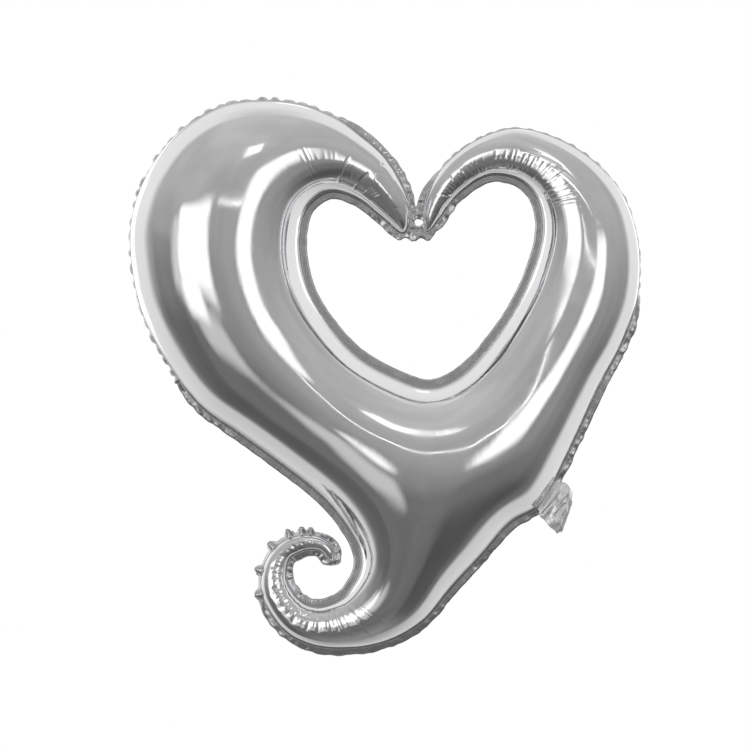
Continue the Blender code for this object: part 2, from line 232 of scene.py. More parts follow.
class Outline:
    """A smooth closed line through points of the CAD, evenly sampled, with its normals."""

    def __init__(self, knots, step):
        following = np.roll(knots, -1, axis=0)
        chord = np.linalg.norm(following - knots, axis=1)[:, None]
        slope = (following - np.roll(knots, 1, axis=0)) / (chord + np.roll(chord, 1, axis=0))
        t = (np.arange(SAMPLES_PER_SPAN) / SAMPLES_PER_SPAN)[None, :, None]
        leave = (slope * chord)[:, None]
        arrive = (np.roll(slope, -1, axis=0) * chord)[:, None]
        dense = (
            (2 * t**3 - 3 * t**2 + 1) * knots[:, None]
            + (t**3 - 2 * t**2 + t) * leave
            + (3 * t**2 - 2 * t**3) * following[:, None]
            + (t**3 - t**2) * arrive
        ).reshape(-1, 2)
        closed = np.vstack([dense, dense[:1]])
        run = np.concatenate([[0], np.cumsum(np.linalg.norm(np.diff(closed, axis=0), axis=1))])
        count = round(run[-1] / step)
        self.length = run[-1]
        self.run = np.arange(count) * run[-1] / count
        self.points = np.column_stack([np.interp(self.run, run, closed[:, i]) for i in (0, 1)])
        along = np.roll(self.points, -1, axis=0) - np.roll(self.points, 1, axis=0)
        along /= np.linalg.norm(along, axis=1)[:, None]
        self.normals = np.column_stack([along[:, 1], -along[:, 0]])
        turn = np.roll(along, -1, axis=0) - np.roll(along, 1, axis=0)
        bend = (turn * self.normals).sum(axis=1) * count / (2 * run[-1])
        self.convexity = -smoothed(bend, 9 * MM * count / run[-1])


def smoothed(values, width):
    """Values along a closed line, averaged over a bell of that many samples."""
    reach = int(3 * width)
    bell = np.exp(-0.5 * (np.arange(-reach, reach + 1) / width) ** 2)
    wrapped = np.concatenate([values[-reach:], values, values[:reach]])
    return np.convolve(wrapped, bell / bell.sum(), mode="valid")


def inside(loop, points):
    """Which points lie inside a closed loop, by counting crossings."""
    result = np.zeros(len(points), bool)
    for (x1, z1), (x2, z2) in zip(loop, np.roll(loop, -1, axis=0)):
        straddles = (points[:, 1] < z1) != (points[:, 1] < z2)
        if z1 != z2:
            crossing = x1 + (points[:, 1] - z1) * (x2 - x1) / (z2 - z1)
            result ^= straddles & (points[:, 0] < crossing)
    return result


def nearest(line, points):
    """Index of the closest point of a line, and its distance, for each point."""
    tree = kdtree.KDTree(len(line))
    for i, (x, z) in enumerate(line):
        tree.insert((x, z, 0), i)
    tree.balance()
    found = [tree.find((x, z, 0)) for x, z in points]
    return np.array([f[1] for f in found]), np.array([f[2] for f in found])


def smoothstep(low, high, value):
    """A smooth change from 0 to 1 while value goes from low to high."""
    t = np.clip((value - low) / (high - low), 0, 1)
    return t * t * (3 - 2 * t)


# ---------------------------------------------------------------- where the film gathers

class Gather:
    """A curved stretch of a tube, where the film on the inside of the bend is gathered.

    Its creases run from the inner seam towards a centre. Across the tube, a share runs from
    0 at the inner seam to 1 at the outer one. Angles are in degrees about the centre,
    counter-clockwise from +X.
    """

    def __init__(self, opening, reach, first_angle, last_angle, seam):
        low, high = opening_box(opening)
        self.centre = (low + high) / 2
        self.angles = (first_angle, last_angle)
        self.reach = reach
        offset = self.centre - seam.points
        near = np.linalg.norm(offset, axis=1) < reach
        faces_centre = (offset * seam.normals).sum(axis=1) > 0
        self.inner_line = seam.points[near & faces_centre]
        self.outer_line = seam.points[near & ~faces_centre]

    def polar(self, points):
        """Angle, counted on from the stretch's first angle, and radius of each point."""
        offset = points - self.centre
        angle = np.degrees(np.arctan2(offset[:, 1], offset[:, 0]))
        angle = self.angles[0] + (angle - self.angles[0] + 60) % 360 - 60
        return angle, np.linalg.norm(offset, axis=1)

    def covers(self, points, margin=0.0):
        """Which points lie in the stretch, or within a margin of it in degrees."""
        angle, radius = self.polar(points)
        first, last = self.angles
        return (angle > first - margin) & (angle < last + margin) & (radius < self.reach)

    def share_across(self, points):
        """How far across the tube each point lies, from 0 at its inner seam to 1."""
        _, to_inner = nearest(self.inner_line, points)
        _, to_outer = nearest(self.outer_line, points)
        return to_inner / (to_inner + to_outer)


def opening_box(name):
    """Lowest and highest corner, as (x, z), of an opening that the record states."""
    for opening in frame["record"]["physics"]["openings"]:
        if opening["name"] == name:
            low, high = np.array(opening["box_m"])
            return low[[0, 2]], high[[0, 2]]
    raise KeyError(name)


# ---------------------------------------------------------------- inflated film

def dome_points(seam, gathers):
    """Points inside the seam: rows along it, then a lattice that is finer at the gathers."""
    rows = [seam.points - seam.normals * inset for inset in ROW_INSETS]
    row_insets = np.repeat(ROW_INSETS, len(seam.points))
    rows = np.vstack(rows)
    _, margin = nearest(seam.points, rows)
    rows = rows[(margin > 0.96 * row_insets) & inside(seam.points, rows)]
    low = seam.points.min(axis=0)
    high = seam.points.max(axis=0)
    grain = COARSE_GRAIN / 4
    rise = grain * math.sqrt(3) / 2
    j, i = np.mgrid[0:int((high[1] - low[1]) / rise), 0:int((high[0] - low[0]) / grain * 1.6)]
    i = (i - j // 2).ravel()
    j = j.ravel()
    level = np.where((i % 4 == 0) & (j % 4 == 0), 4, np.where((i % 2 == 0) & (j % 2 == 0), 2, 1))
    lattice = low + np.column_stack([(i + 0.5 * j) * grain, j * rise])
    finest = np.full(len(lattice), 4)
    for gather in gathers.values():
        around = gather.covers(lattice, 6)
        finest[around] = np.minimum(finest, 2)[around]
        finest[gather.covers(lattice)] = 1
    kept = (level >= finest) & (lattice[:, 0] < high[0])
    lattice = lattice[kept]
    spacing = finest[kept] * grain
    within = inside(seam.points, lattice)
    lattice = lattice[within]
    _, margin = nearest(seam.points, lattice)
    clear = margin > ROW_INSETS[-1] + 0.55 * spacing[within]
    return np.vstack([rows, lattice[clear]])


def triangulated(loops, interior):
    """Points and triangles that keep the loops' edges."""
    edges = []
    start = 0
    for loop in loops:
        edges += [(start + i, start + (i + 1) % len(loop)) for i in range(len(loop))]
        start += len(loop)
    points = np.vstack([*loops, interior])
    vertices, _, faces, *_ = delaunay_2d_cdt([Vector(p) for p in points], edges, [], 0, 1e-7)
    return np.array([tuple(v) for v in vertices]), np.array(faces)


def film_height(points, faces):
    """Height of a sealed film under gas pressure, before it is scaled to the CAD's depth.

    Solves the membrane equation by conjugate gradients. The root of its answer is a half
    circle across a long tube, and a flatter cushion over a wide lobe.
    """
    corners = points[faces]
    opposite = np.roll(corners, -1, axis=1) - np.roll(corners, -2, axis=1)
    doubled = np.abs(
        opposite[:, 0, 0] * opposite[:, 1, 1] - opposite[:, 0, 1] * opposite[:, 1, 0]
    )
    count = len(points)
    load = np.bincount(faces.ravel(), np.repeat(doubled / 6, 3), count)
    own = np.bincount(
        faces.ravel(), ((opposite**2).sum(axis=2) / (2 * doubled)[:, None]).ravel(), count
    )
    pairs = faces[:, [0, 1, 1, 2, 2, 0]].reshape(-1, 2)
    weights = (opposite * np.roll(opposite, -1, axis=1)).sum(axis=2) / (2 * doubled)[:, None]
    weights = weights.ravel()
    free = np.ones(count, bool)
    free[boundary_edges(faces).ravel()] = False
    own[own == 0] = 1

    def pull(values):
        first = np.bincount(pairs[:, 0], weights * values[pairs[:, 1]], count)
        second = np.bincount(pairs[:, 1], weights * values[pairs[:, 0]], count)
        return (own * values + first + second) * free

    pressure = np.zeros(count)
    rest = load * free
    goal = SOLVER_TOLERANCE * np.linalg.norm(rest)
    scaled = rest / own
    heading = scaled.copy()
    strength = rest @ scaled
    for _ in range(SOLVER_STEPS):
        pulled = pull(heading)
        step = strength / (heading @ pulled)
        pressure += step * heading
        rest -= step * pulled
        if np.linalg.norm(rest) < goal:
            break
        scaled = rest / own
        previous, strength = strength, rest @ scaled
        heading = scaled + heading * strength / previous
    return np.sqrt(2 * np.maximum(pressure, 0))


# ---------------------------------------------------------------- creases and crinkles

def gathered(gather, points, seed, count, widths, depths, shares):
    """Depth of many short creases across the inside of a bend, at random angles."""
    draw = np.random.default_rng(seed)
    covered = gather.covers(points, 4)
    angle, radius = gather.polar(points[covered])
    share = gather.share_across(points[covered])
    total = np.zeros(len(angle))
    first, last = gather.angles
    spacing = (last - first) / count
    for i in range(count):
        place = first + spacing * (i + draw.uniform(0.1, 0.9))
        width = draw.uniform(*widths) * MM
        depth = draw.uniform(*depths) * MM
        start = shares[0] + draw.uniform(-0.05, 0.15)
        end = shares[1] + draw.uniform(-0.12, 0.06)
        lean = draw.uniform(-4, 4)
        across = np.radians(angle - place - lean * (share - 0.5)) * radius
        length = smoothstep(start, start + 0.1, share) * (1 - smoothstep(end - 0.12, end, share))
        total += depth * np.exp(-((across / width) ** 2)) * length
    ends = smoothstep(first, first + 12, angle) * (1 - smoothstep(last - 12, last, angle))
    result = np.zeros(len(points))
    result[covered] = total * ends
    return result


def single_crease(gather, points, places, shares, width, depth):
    """Depth of one long crease across a bend, between two angles at two shares."""
    angle, radius = gather.polar(points)
    share = gather.share_across(points)
    along = (share - shares[0]) / (shares[1] - shares[0])
    across = np.radians(angle - places[0] - (places[1] - places[0]) * along) * radius
    length = smoothstep(-0.1, 0.15, along) * (1 - smoothstep(0.85, 1.1, along))
    return gather.covers(points, 8) * depth * MM * np.exp(-((across / width / MM) ** 2)) * length


def line_crease(points, start, end, width, depth):
    """Depth of a crease, or of a ridge if it is negative, along a straight line."""
    start = np.array(start)
    way = np.array(end) - start
    along = (points - start) @ way / (way @ way)
    across = (points - start) @ (way[1], -way[0]) / np.linalg.norm(way)
    ends = smoothstep(-0.1, 0.3, along) * (1 - smoothstep(0.7, 1.1, along))
    return depth * np.exp(-((across / width) ** 2)) * ends


def ridge_line(gather, points, shares, angles, width, height):
    """Height of a soft line that runs along a tube, from one share across it to another."""
    angle, _ = gather.polar(points)
    share = gather.share_across(points)
    _, to_inner = nearest(gather.inner_line, points)
    share_at = shares[0] + (shares[1] - shares[0]) * (angle - angles[0]) / (angles[1] - angles[0])
    across = (share - share_at) * to_inner / np.maximum(share, 0.05)
    ends = smoothstep(angles[0], angles[0] + 10, angle)
    ends = ends * (1 - smoothstep(angles[1] - 10, angles[1], angle))
    return gather.covers(points, 8) * height * MM * np.exp(-((across / width / MM) ** 2)) * ends


def soft_noise(points, scale, seed):
    """Smooth noise from about -1 to 1 over the flat pattern."""
    return np.array([noise.noise((x / scale, z / scale, seed)) for x, z in points]) * 1.6


def zigzag(run, pitch, shift):
    """A wave of straight slopes, from -1 to 1."""
    return 4 * np.abs((run / pitch + shift) % 1 - 0.5) - 1


class BorderShape:
    """How the sealed border leaves its flat pattern, for each sample of the seam.

    On the lobes and the top of the hook the border is drawn back behind the balloon and only
    pleat points stand out. Elsewhere it lies nearly flat, and it is buckled all along.
    """

    def __init__(self, seam, web, hook):
        self.seam = seam
        facing = np.degrees(np.arctan2(seam.normals[:, 1], seam.normals[:, 0])) % 360
        offset = seam.points - web
        near_web = np.linalg.norm(offset, axis=1)
        left = offset[:, 0] < 0
        high = seam.points[:, 1] > opening_box("heart_hole_point")[0][1] - 16 * MM
        outer_side = seam.convexity > OUTWARD_BEND
        first, last = LEFT_LOBE_FACING
        left_lobe = left & high & outer_side & (facing > first) & (facing < last)
        turned = (facing + 90) % 360 - 90
        first, last = RIGHT_LOBE_FACING
        right_lobe = ~left & high & outer_side & (turned > first) & (turned < last)
        angle, _ = hook.polar(seam.points)
        curl = hook.covers(seam.points) & (angle < CURL_END) & outer_side
        eye = hook.covers(seam.points) & (angle < EYE_END) & (seam.convexity < 0)
        hole_side = (seam.convexity < 0) & ~eye & (near_web > HOLE_SIDE_FROM_WEB)
        lobes = left_lobe | right_lobe
        back = np.where(lobes, LOBE_TILT, FLAT_TILT)
        back[curl] = CURL_TILT
        back[hole_side] = HOLE_TILT
        tilt = smoothed(back, 7) * smoothstep(*LEVEL_BY_WEB, near_web)
        self.point = np.maximum(
            self.edge_tips(seam, left_lobe + 0.5 * right_lobe), self.hook_points(angle * curl)
        )
        self.tilt = np.radians(tilt * (1 - self.point))
        self.width = smoothed(np.where(lobes, LOBE_BORDER_SHARE, 1.0), 7)
        self.width += 0.35 * self.hook_points(angle * curl)
        ringed = left & high & outer_side & (facing < 60)
        pleated = np.full(len(facing), 0.1)
        pleated[ringed | (near_web < PLEATED_BY_WEB)] = 0.9
        pleated[eye] = 0.8
        pleated[hole_side] = 0.03
        mottled = np.where(hole_side, 0.25, 1.0)
        tip = hook.covers(seam.points, 48) & (angle < TIP_END) & outer_side
        pleated[tip] = 1.2
        mottled[tip] = 2.2
        self.pleated = smoothed(pleated, 5)
        self.mottled = smoothed(mottled, 5)
        draw = np.random.default_rng(11)
        self.shift = smoothed(draw.normal(0, 3.0, len(seam.points)), 12)
        ragged = smoothed(draw.normal(0, 1.0, len(seam.points)), 1.8)
        self.width *= 1 + np.where(hole_side, 0.05, 0.15) * np.clip(ragged, -1, 1)

    @staticmethod
    def edge_tips(seam, where):
        """Share, along the seam, by which short lengths of the border stand out."""
        draw = np.random.default_rng(5)
        tips = np.zeros(len(seam.points))
        place = 0.0
        while place < seam.length:
            place += draw.uniform(9, 14) * MM
            tall = draw.uniform(0.18, 0.50)
            wide = draw.uniform(2.6, 4.8) * MM
            away = np.abs((seam.run - place + seam.length / 2) % seam.length - seam.length / 2)
            tips = np.maximum(tips, tall * np.exp(-((away / wide) ** 4)))
        return tips * where

    @staticmethod
    def hook_points(angle):
        """Share by which the film is pulled out into points round the top of the hook."""
        points = np.zeros(len(angle))
        for place, tall in HOOK_POINTS:
            away = np.where(angle > 0, np.abs(angle - place), 2 * HOOK_POINT_WIDTH)
            points = np.maximum(points, tall * np.maximum(0, 1 - away / HOOK_POINT_WIDTH))
        return points

    def buckle(self, index, distance):
        """Out-of-plane shift of the border, by seam sample and distance from the seam."""
        run = self.seam.run[index]
        shift = self.shift[index]
        wave = 0.6 * zigzag(run, 6.3 * MM, shift) + 0.3 * zigzag(run, 3.9 * MM, 1.7 * shift)
        wave += 0.4 * zigzag(run + 0.8 * distance, 9.7 * MM, 0.6 * shift)
        growth = 0.06 + smoothstep(0, 5 * MM, distance)
        return BUCKLE_DEPTH * self.pleated[index] * wave * growth

    def shaped(self, flat):
        """Places of the border's middle surface for points of the flat pattern."""
        index, distance = nearest(self.seam.points, flat)
        reach = distance * self.width[index]
        outward = reach * np.cos(self.tilt[index]) - distance
        spread = flat + self.seam.normals[index] * outward[:, None]
        depth = reach * np.sin(self.tilt[index]) + self.buckle(index, distance)
        mottle = soft_noise(flat, 7 * MM, 7.0) + 0.5 * soft_noise(flat, 3 * MM, 8.0)
        depth += MOTTLE_DEPTH * mottle * self.mottled[index] * smoothstep(0, 4 * MM, distance)
        return np.column_stack([spread[:, 0], depth, spread[:, 1]])


# ---------------------------------------------------------------- objects

def add_mesh(name, places, faces, material, slot, body, *replaced):
    """A visible piece. Its body is None for a piece that spans the fold, which is left without a body."""
    mesh = bpy.data.meshes.new(name)
    mesh.from_pydata([tuple(p) for p in places], [], [tuple(map(int, f)) for f in faces])
    mesh.validate()
    mesh.shade_smooth()
    mesh.materials.append(material)
    piece = bpy.data.objects.new(name, mesh)
    bpy.context.scene.collection.objects.link(piece)
    if body:
        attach(piece, body)
    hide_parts(*replaced)
    return piece


def surface_normals(places, faces):
    """Unit normals at the points of a triangle mesh."""
    corners = places[faces]
    facing = np.cross(corners[:, 1] - corners[:, 0], corners[:, 2] - corners[:, 0])
    total = np.zeros_like(places)
    for i in range(3):
        for axis in range(3):
            total[:, axis] += np.bincount(faces[:, i], facing[:, axis], len(places))
    return total / np.maximum(np.linalg.norm(total, axis=1), 1e-12)[:, None]


def dome_relief(flat, gathers, seed):
    """How far the film stands off its smooth shape, along its normal."""
    relief = FILM_UNEVENNESS * soft_noise(flat, 26 * MM, seed)
    for step, (bend, *settings) in enumerate(SHORT_CREASES, 1):
        relief -= gathered(gathers[bend], flat, seed + step, *settings)
    for settings in LONG_CREASES:
        relief -= single_crease(gathers["left"], flat, *settings)
    for settings in BODY_CREASES:
        relief -= line_crease(flat - gathers["hook"].centre, *settings)
    for bend, *settings in RIDGES:
        relief += ridge_line(gathers[bend], flat, *settings)
    return relief


def make_dome(name, side, flat, faces, height, relief, border, material, node):
    """One film panel inside the seam, with its gathers and with the border's buckling."""
    depth = height + SEAL_HALF_DEPTH
    places = np.column_stack([flat[:, 0], side * depth, flat[:, 1]])
    turned = faces if side < 0 else faces[:, ::-1]
    normals = surface_normals(places, turned)
    index, margin = nearest(border.seam.points, flat)
    places += normals * (relief * smoothstep(0, 3 * MM, margin))[:, None]
    places[:, 1] += border.buckle(index, 0 * margin) * np.exp(-margin / (2.5 * MM))
    return add_mesh(name, places, turned, material, "foil", "envelope", node)


def web_middle():
    """Middle of the web between the arm tips, as (x, z), from the mount on it."""
    for mount in frame["record"]["mounts"]:
        if mount["name"] == "cleft_web_face":
            x, _, z = mount["pos_m"]
            return np.array([x, z + WEB_ABOVE_MOUNT])
    raise KeyError("cleft_web_face")


def lumped(rim, web):
    """The rim of the hole, with three lumps where the film bunches below the web."""
    offset = rim.points - web
    wave = np.cos(2 * math.pi * (offset[:, 0] + LUMP_SHIFT) / LUMP_PITCH)
    near = (1 - smoothstep(16 * MM, 26 * MM, np.abs(offset[:, 0]))) * (offset[:, 1] > -40 * MM)
    points = rim.points.copy()
    points[:, 1] -= LUMP_DEPTH * wave * near
    return points


def web_gap(web):
    """Outline of the small gap that is left open in the web between the arm tips."""
    angles = np.linspace(0, 2 * math.pi, GAP_SAMPLES, endpoint=False)
    ring = np.column_stack([np.cos(angles), np.sin(angles)])
    ring *= 1 + GAP_WAVE * np.sin(3 * angles + 1.0)[:, None]
    return web + np.array(GAP_MIDDLE) + ring * np.array(GAP_HALF_SIZE)


def border_points(seam, outer, hole, gap, web):
    """Points between the seam and the rims: rows along the seam, and a lattice in the web."""
    rows = np.vstack([seam.points + seam.normals * offset for offset in BORDER_ROWS])
    offsets = np.repeat(BORDER_ROWS, len(seam.points))
    x, z = np.meshgrid(np.arange(-24, 24, WEB_GRAIN) * MM, np.arange(-30, 40, WEB_GRAIN) * MM)
    lattice = web + np.column_stack([x.ravel(), z.ravel()])
    points = np.vstack([rows, lattice])
    past_rows = BORDER_ROWS[-1] + RIM_CLEARANCE
    least = np.concatenate([0.96 * offsets, np.full(len(lattice), past_rows)])
    _, margin = nearest(seam.points, points)
    kept = (margin > least) & ~inside(seam.points, points)
    kept &= inside(outer, points) & ~inside(hole, points) & ~inside(gap, points)
    points = points[kept]
    _, to_rim = nearest(np.vstack([outer, hole, gap]), points)
    return points[to_rim > RIM_CLEARANCE]


def make_border(seam, outer, hole, shape, web, material):
    """The sealed border: two films fused into one thin band, buckled and pleated."""
    rims = (outer.points, lumped(hole, web), web_gap(web))
    flat, faces = triangulated([seam.points, *rims], border_points(seam, *rims, web))
    centres = flat[faces].mean(axis=1)
    between = inside(rims[0], centres) & ~inside(rims[1], centres) & ~inside(rims[2], centres)
    faces = faces[between & ~inside(seam.points, centres)]
    middle = shape.shaped(flat)
    off = surface_normals(middle, faces) * SEAL_HALF_DEPTH
    on_seam = nearest(seam.points, flat)[1] < 0.01 * MM
    off[on_seam] = (0, -SEAL_HALF_DEPTH, 0)
    count = len(flat)
    walls = [(b, a, a + count, b + count) for a, b in boundary_edges(faces)]
    every = [tuple(f) for f in faces] + [tuple(f + count) for f in faces[:, ::-1]] + walls
    return add_mesh(
        "sealed_border", np.vstack([middle + off, middle - off]), every, material,
        "sealed_foil", "envelope", "heat_seal_band",
    )


# ---------------------------------------------------------------- fill tail

class TailFrame:
    """Places on the tail: out from the fold line, along it, and through the film."""

    def __init__(self):
        joint = frame["joints"][0]
        self.origin = np.array(joint["pos_m"])
        self.along = np.array(joint["axis"])
        self.out = np.array([self.along[2], 0, -self.along[0]])

    def place(self, out, along, through):
        return (
            self.origin
            + self.out * np.asarray(out)[..., None]
            + self.along * np.asarray(along)[..., None]
            + np.array([0, 1, 0]) * np.asarray(through)[..., None]
        )


def strip_mesh(name, tail, grid, material, slot, thickness, body, *replaced):
    """A film strip through a grid of (out, along, through) places."""
    places = tail.place(*grid).reshape(-1, 3)
    rows, columns = grid[0].shape
    first = np.arange((rows - 1) * columns).reshape(rows - 1, columns)[:, :-1].ravel()
    quads = np.column_stack([first, first + columns, first + columns + 1, first + 1])
    piece = add_mesh(name, places, quads, material, slot, body, *replaced)
    skin = piece.modifiers.new("film", "SOLIDIFY")
    skin.thickness = thickness
    skin.offset = 0
    return piece


def tail_surface():
    """Middle surface of the crumpled tail: (out, along, through) grids, and across it."""
    share, across = np.meshgrid(np.linspace(0, 1, 44), np.linspace(-1, 1, 56), indexing="ij")
    root = -6.4 * MM
    end = (17.8 - 4.6 * across - 3.0 * across**2 + 0.4 * np.sin(8 * across + 1)) * MM
    out = root + share * (end - root)
    spread = smoothstep(root, 1 * MM, out)
    half = (13.0 + 4.5 * spread + 0.8 * share**2) * MM
    along = across * half - 3.6 * MM * share**2 + 0.5 * MM * np.sin(out / (2.2 * MM)) * spread
    fold = np.sin((out + 0.15 * along) / (1.5 * MM) + 0.8 * np.sin(along / (6 * MM)))
    flat = np.column_stack([out.ravel(), along.ravel()])
    lumps = soft_noise(flat, 8 * MM, 3.0).reshape(out.shape)
    folded = 0.25 + 0.75 * smoothstep(-0.2, 0.9, lumps)
    through = (0.5 * fold * folded + 0.7 * lumps) * MM * smoothstep(-1 * MM, 4 * MM, out)
    for crease_out, first, last, depth in TAIL_CREASES:
        part = smoothstep(first - 3 * MM, first, along)
        part = part * (1 - smoothstep(last, last + 3 * MM, along))
        off_line = (out - crease_out - 0.15 * along) / (0.9 * MM)
        through += depth * part * np.exp(-(off_line**2))
    through += 4.4 * MM * smoothstep(0.72, 1.0, share) ** 2
    return out, along, through, across


def make_tail(foil, film):
    """The tail's two plies and side welds, which run across the fold line, and the valve's ends."""
    tail = TailFrame()
    out, along, shift, across = tail_surface()
    for side, place in ((-1, "front"), (1, "rear")):
        bulge = (0.5 + 1.4 * smoothstep(-6 * MM, 0, out)) * MM * (1 - across**4)
        through = shift + side * (SEAL_HALF_DEPTH + TAIL_FILM + bulge)
        piece = strip_mesh(
            f"tail_{place}_foil", tail, (out, along, through), foil, "foil", TAIL_FILM, None,
            f"tail_{place}_ply",
        )
        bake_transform(piece)
    for side, place in ((-1, "lower"), (1, "upper")):
        columns = np.nonzero(side * across[0] > 1 - TAIL_WELD_SHARE)[0]
        rows = np.nonzero(out.max(axis=1) > 0)[0]
        part = np.ix_(rows, columns)
        piece = strip_mesh(
            f"tail_{place}_edge", tail, (out[part], along[part], shift[part]), foil,
            "sealed_foil", TAIL_WELD, None, f"tail_{place}_side_seal",
        )
        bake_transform(piece)
    make_valve_ends(tail, film)


def make_valve_ends(tail, film):
    """The valve's two loose films where they leave the tail, curled towards the rear."""
    run, across = np.meshgrid(np.linspace(0, 1, 40), np.linspace(-1, 1, 30), indexing="ij")
    for side, place, radius, turn in VALVE_CURLS:
        straight = (15.0 - 3.0 * across) * MM
        travel = 2 * MM + run * (straight + radius * turn)
        bent = np.clip((travel - straight) / radius, 0, None)
        out = np.minimum(travel, straight) + radius * np.sin(bent)
        along = across * VALVE_HALF_WIDTH - 5 * MM * (travel / (20 * MM)) ** 2
        flat = np.column_stack([travel.ravel(), along.ravel()])
        wave = soft_noise(flat, 6 * MM, 9.0 + side).reshape(out.shape)
        through = radius * (1 - np.cos(bent)) + side * 0.25 * MM
        through = through + 0.7 * MM * wave * smoothstep(8 * MM, 18 * MM, travel)
        strip_mesh(
            f"tail_valve_{place}_end", tail, (out, along, through), film, "valve_film",
            VALVE_FILM, "fill_tail", f"tail_valve_{place}_film",
        )


# ---------------------------------------------------------------- studio

def make_camera():
    low, high = CAD_BOX
    camera = bpy.data.objects.new("camera", bpy.data.cameras.new("camera"))
    bpy.context.scene.collection.objects.link(camera)
    x = low.x + VIEW_CENTRE[0] * (high.x - low.x)
    z = low.z + VIEW_CENTRE[1] * (high.z - low.z)
    camera.location = (x, -CAMERA_DISTANCE, z)
    camera.rotation_euler = (math.radians(90), 0, 0)
    camera.data.lens = camera.data.sensor_width * CAMERA_DISTANCE / VIEW_WIDTH
    bpy.context.scene.camera = camera


class Nodes:
    """A short way to write a node tree."""

    def __init__(self, tree):
        self.tree = tree

    def add(self, kind, **settings):
        node = self.tree.nodes.new(kind)
        for name, value in settings.items():
            setattr(node, name, value)
        return node

    def put(self, socket, value):
        if isinstance(value, bpy.types.NodeSocket):
            self.tree.links.new(value, socket)
        else:
            socket.default_value = value

    def math(self, operation, a, b=0.0):
        node = self.add("ShaderNodeMath", operation=operation)
        self.put(node.inputs[0], a)
        self.put(node.inputs[1], b)
        return node.outputs[0]

    def step(self, value, low, high, start=0.0, end=1.0):
        """A smooth change from start to end while value goes from low to high."""
        node = self.add("ShaderNodeMapRange", interpolation_type="SMOOTHSTEP")
        for name, given in (("Value", value), ("From Min", low), ("From Max", high)):
            self.put(node.inputs[name], given)
        self.put(node.inputs["To Min"], start)
        self.put(node.inputs["To Max"], end)
        return node.outputs["Result"]

    def ramp(self, value, stops):
        """A grey level from (place, level) stops."""
        node = self.add("ShaderNodeValToRGB")
        self.put(node.inputs["Fac"], value)
        elements = node.color_ramp.elements
        while len(elements) < len(stops):
            elements.new(0.5)
        for element, (place, level) in zip(elements, stops):
            element.position = place
            element.color = (level, level, level, 1)
        return node.outputs["Color"]

    def blend(self, share, a, b):
        node = self.add("ShaderNodeMix", data_type="FLOAT")
        self.put(node.inputs[0], share)
        self.put(node.inputs[2], a)
        self.put(node.inputs[3], b)
        return node.outputs[0]


FOIL_BRIGHTNESS = 0.80  # share of the light that the foil reflects


def principled(name, colour, roughness, metallic):
    """A material, its shader and a way to add nodes."""
    material = bpy.data.materials.new(name)
    material.use_nodes = True
    shader = material.node_tree.nodes["Principled BSDF"]
    shader.inputs["Base Color"].default_value = (*colour, 1)
    shader.inputs["Roughness"].default_value = roughness
    shader.inputs["Metallic"].default_value = metallic
    return material, shader, Nodes(material.node_tree)


def grain_texture(n, scale, stretch=(1, 1, 1), detail=2.0):
    """Noise over the object's own coordinates."""
    place = n.add("ShaderNodeTexCoord").outputs["Object"]
    mapping = n.add("ShaderNodeMapping")
    n.put(mapping.inputs["Vector"], place)
    mapping.inputs["Scale"].default_value = stretch
    texture = n.add("ShaderNodeTexNoise")
    n.put(texture.inputs["Vector"], mapping.outputs[0])
    texture.inputs["Scale"].default_value = scale
    texture.inputs["Detail"].default_value = detail
    return texture.outputs["Fac"]


def add_bump(n, shader, height, distance, strength):
    bump = n.add("ShaderNodeBump")
    bump.inputs["Distance"].default_value = distance
    bump.inputs["Strength"].default_value = strength
    n.put(bump.inputs["Height"], height)
    n.put(shader.inputs["Normal"], bump.outputs[0])


def polished_foil():
    """Bright metallised film: a soft mirror with faint handling marks."""
    colour = (FOIL_BRIGHTNESS, FOIL_BRIGHTNESS, 0.81)
    material, shader, n = principled("polished_foil", colour, 0.08, 1.0)
    cloud = grain_texture(n, 40)
    n.put(shader.inputs["Roughness"], n.step(cloud, 0.3, 0.75, 0.05, 0.14))
    marks = grain_texture(n, 260, (1.0, 1.0, 0.25), 3.0)
    add_bump(n, shader, marks, 0.0002, 0.12)
    return material


def sealed_foil():
    """The same film where heat has fused it: duller, with a fine grain."""
    material, shader, n = principled("sealed_foil", (0.55, 0.55, 0.56), 0.25, 1.0)
    cloud = grain_texture(n, 90)
    n.put(shader.inputs["Roughness"], n.step(cloud, 0.3, 0.75, 0.16, 0.34))
    add_bump(n, shader, grain_texture(n, 700), 0.0002, 0.25)
    return material


def tail_foil():
    """Foil of the tail, which was never stretched: soft, pale and matt."""
    material, shader, n = principled("tail_foil", (0.94, 0.94, 0.95), 0.38, 0.6)
    cloud = grain_texture(n, 200)
    n.put(shader.inputs["Roughness"], n.step(cloud, 0.3, 0.75, 0.26, 0.44))
    add_bump(n, shader, grain_texture(n, 500), 0.0002, 0.03)
    return material


def valve_film():
    """Thin milky plastic film of the valve."""
    material, shader, n = principled("valve_film", (0.86, 0.87, 0.87), 0.25, 0.0)
    shader.inputs["Alpha"].default_value = 0.55
    add_bump(n, shader, grain_texture(n, 300), 0.0002, 0.3)
    return material


